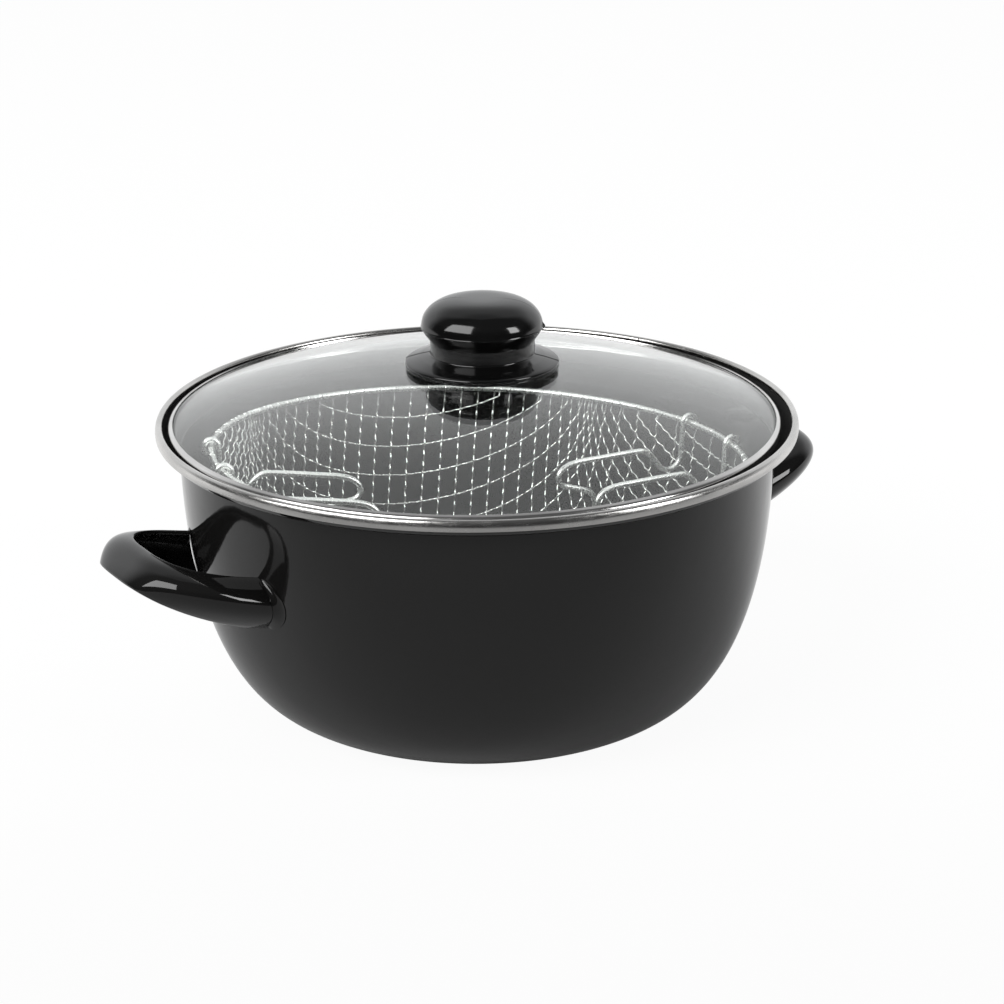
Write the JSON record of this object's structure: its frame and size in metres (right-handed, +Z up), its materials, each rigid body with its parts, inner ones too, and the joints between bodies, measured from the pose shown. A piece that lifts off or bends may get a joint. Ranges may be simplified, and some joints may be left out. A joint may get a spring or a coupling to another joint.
{
  "type": "deep fry pot",
  "caption": "Round enamelled deep fry pot with strap side handles, a domed glass lid with a mushroom knob, and a lift-out wire net basket with folding wire handles.",
  "frame": {"origin": "centre of the pot's foot, on the surface it stands on", "axes": "+Z up along the pot's axis, +X through the right side handle, -X through the left one"},
  "size_m": [0.3484, 0.28, 0.1811],
  "materials": {
    "pot_enamel": "glossy black enamel on steel",
    "trim_steel": "satin stainless",
    "handle_left_enamel": "glossy black enamel on steel",
    "handle_right_enamel": "glossy black enamel on steel",
    "weld_left_front_enamel": "enamelled weld",
    "weld_left_back_enamel": "enamelled weld",
    "weld_right_front_enamel": "enamelled weld",
    "weld_right_back_enamel": "enamelled weld",
    "lid_glass_clear": "clear tempered glass",
    "lid_band_steel": "satin stainless",
    "knob_phenolic": "glossy black phenolic",
    "insert_brass": "plain brass",
    "screw_steel": "plain steel",
    "washer_steel": "plain steel",
    "seal_upper_rubber": "matt silicone",
    "seal_lower_rubber": "matt silicone",
    "ring_steel": "bright plated wire",
    "net_steel": "bright plated wire",
    "basket_handle_left_steel": "bright plated wire",
    "basket_handle_right_steel": "bright plated wire"
  },
  "bodies": {
    "pot": {"pot_body": "pot_enamel", "rim_trim": "trim_steel", "handle_left": "handle_left_enamel", "handle_right": "handle_right_enamel", "handle_left_weld_front": "weld_left_front_enamel", "handle_left_weld_back": "weld_left_back_enamel", "handle_right_weld_front": "weld_right_front_enamel", "handle_right_weld_back": "weld_right_back_enamel"},
    "lid": {"lid_glass": "lid_glass_clear", "lid_band": "lid_band_steel", "lid_knob": "knob_phenolic", "knob_insert": "insert_brass", "knob_screw": "screw_steel", "knob_washer": "washer_steel", "knob_seal_upper": "seal_upper_rubber", "knob_seal_lower": "seal_lower_rubber"},
    "basket": {"basket_ring": "ring_steel", "basket_net": "net_steel"},
    "left_grip": {"basket_handle_left": "basket_handle_left_steel"},
    "right_grip": {"basket_handle_right": "basket_handle_right_steel"}
  },
  "joints": [
    {"name": "lid_lift", "type": "slide", "parent": "pot", "child": "lid", "axis": [0, 0, 1], "range_m": [0, 0.26]},
    {"name": "basket_lift", "type": "slide", "parent": "pot", "child": "basket", "axis": [0, 0, 1], "range_m": [0, 0.14]},
    {"name": "right_grip_turn", "type": "hinge", "parent": "basket", "child": "right_grip", "pos_m": [0.11496, -0.01574, 0.1023], "axis": [0.1311, 0.9911, -0.0235], "range_deg": [0, 155]},
    {"name": "left_grip_turn", "type": "hinge", "parent": "basket", "child": "left_grip", "pos_m": [-0.10881, 0.03435, 0.11529], "axis": [-0.3009, -0.9531, 0.0333], "range_deg": [0, 155]}
  ],
  "couplings": [
    {"joint": "basket_lift", "follows": "lid_lift", "ratio": 0.538},
    {"joint": "right_grip_turn", "follows": "lid_lift", "rad_per_m": 10.4},
    {"joint": "left_grip_turn", "follows": "lid_lift", "rad_per_m": 10.4}
  ]
}
